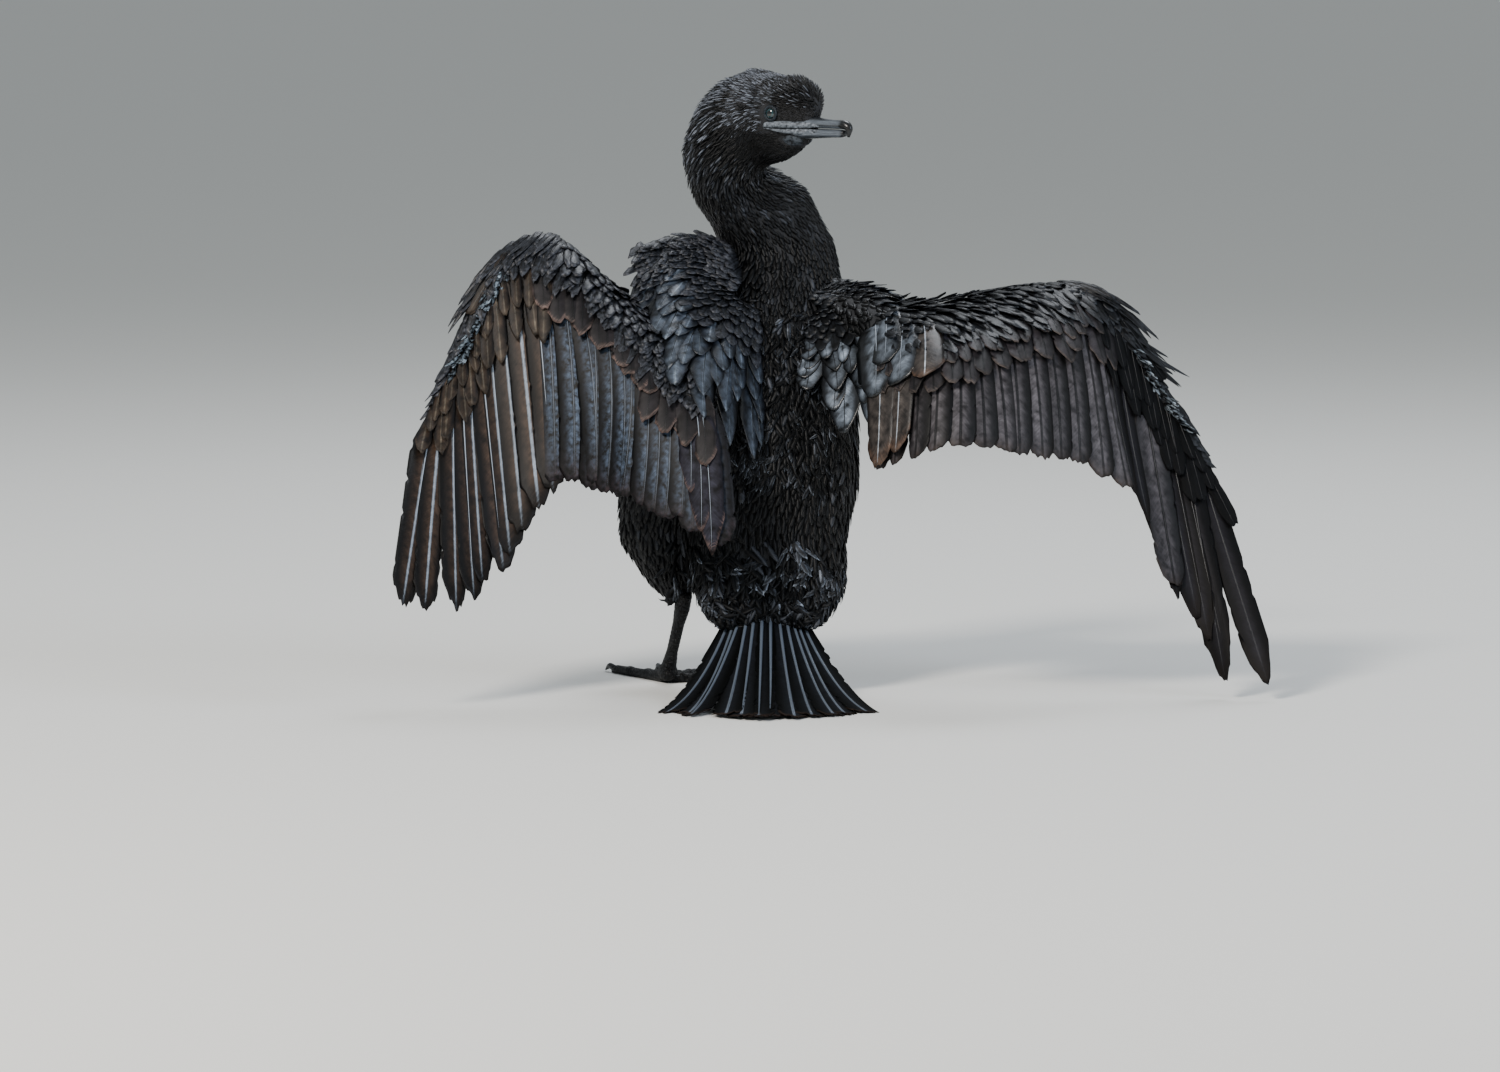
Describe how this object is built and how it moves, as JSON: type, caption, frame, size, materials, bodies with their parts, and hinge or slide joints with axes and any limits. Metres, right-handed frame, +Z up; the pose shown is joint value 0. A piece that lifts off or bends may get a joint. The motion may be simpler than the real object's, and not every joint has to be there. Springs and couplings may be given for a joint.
{
  "type": "cormorant",
  "caption": "Life-size still cormorant standing upright with both wings half spread to dry, head turned to its right, tail fanned on the floor.",
  "frame": {"origin": "on the floor, midway between the bird's extremes along X and along Y", "axes": "+Z up, +X to the bird's right wing, +Y the way its breast faces, so its back and tail are towards -Y"},
  "size_m": [0.5356, 0.3216, 0.3838],
  "materials": {
    "head_feathers": "fine black head feathers, slightly glossy, one patch of pale skin at the throat",
    "body_feathers": "close black body feathers with a dull blue-grey sheen",
    "wing_feathers": "slate and brown-black flight feathers and coverts, edges worn to brown",
    "tail_feathers": "stiff black tail feathers with paler blue-grey shafts",
    "leg_skin": "black scaled skin, webs leathery, claws glossy",
    "bill_horn": "grey horn, darker along the top, satin",
    "eye": "wet dark blue-green iris with a black pupil"
  },
  "bodies": {
    "root": {"head": "head_feathers", "neck_upper": "head_feathers", "neck_lower": "body_feathers", "torso": "body_feathers", "thigh_left": "body_feathers", "thigh_right": "body_feathers", "tail": "tail_feathers", "wing_left_arm": "wing_feathers", "wing_left_hand": "wing_feathers", "wing_right_arm": "wing_feathers", "wing_right_hand": "wing_feathers", "tarsus_left": "leg_skin", "tarsus_right": "leg_skin", "foot_left": "leg_skin", "foot_right": "leg_skin", "bill_upper": "bill_horn", "bill_lower": "bill_horn", "eye_left": "eye", "eye_right": "eye"}
  },
  "joints": []
}
